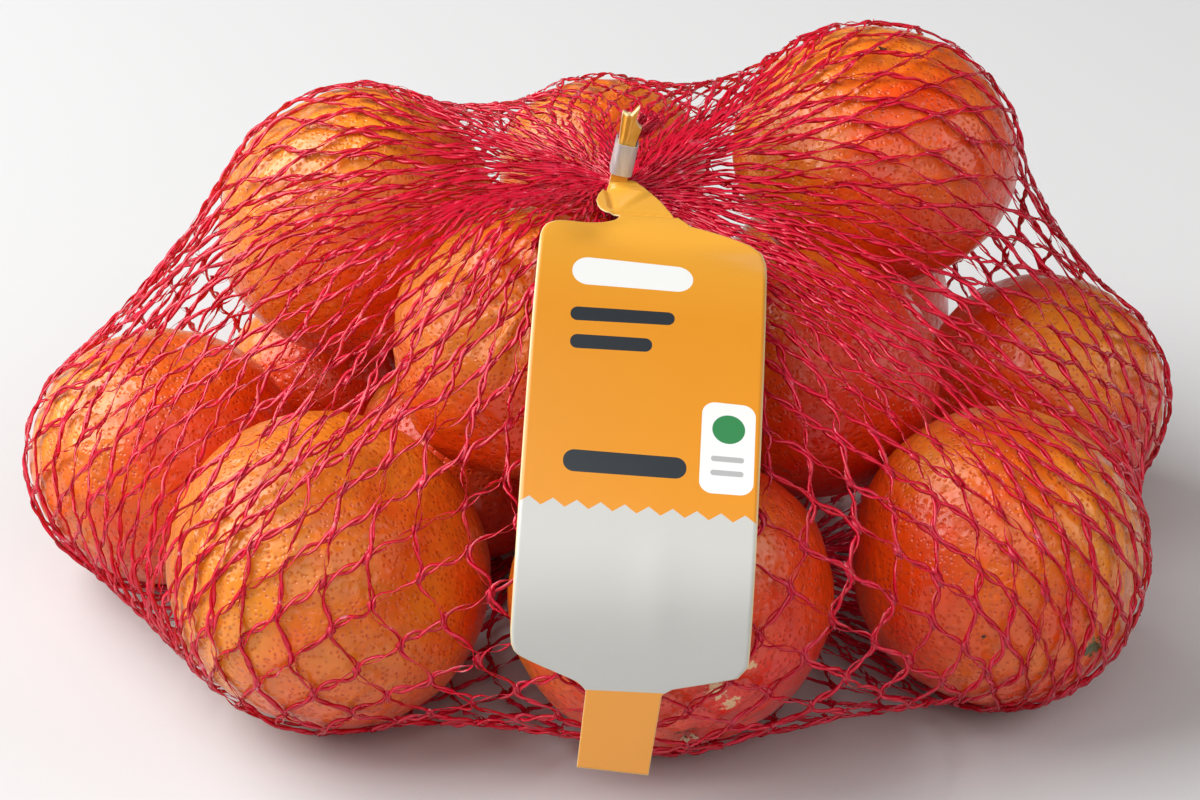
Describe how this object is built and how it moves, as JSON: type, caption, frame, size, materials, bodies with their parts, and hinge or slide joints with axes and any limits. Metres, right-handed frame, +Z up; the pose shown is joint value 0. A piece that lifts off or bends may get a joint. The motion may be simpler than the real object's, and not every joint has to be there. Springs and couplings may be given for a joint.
{
  "type": "net of mandarins",
  "caption": "Red knitted plastic net bag full of mandarins, lying on its side, gathered in a metal clip that holds a printed film label hanging down its front.",
  "frame": {"origin": "on the table under the middle of the bag's outline", "axes": "+X to the right along the bag's length, +Y to its back, +Z up; the label hangs down the front, towards -Y"},
  "size_m": [0.2338, 0.1904, 0.1012],
  "materials": {
    "net": "gloss",
    "clip": "satin",
    "label": "satin",
    "peel": "satin"
  },
  "bodies": {
    "root": {"net": "net", "clip": "clip", "label": "label"}
  },
  "joints": []
}
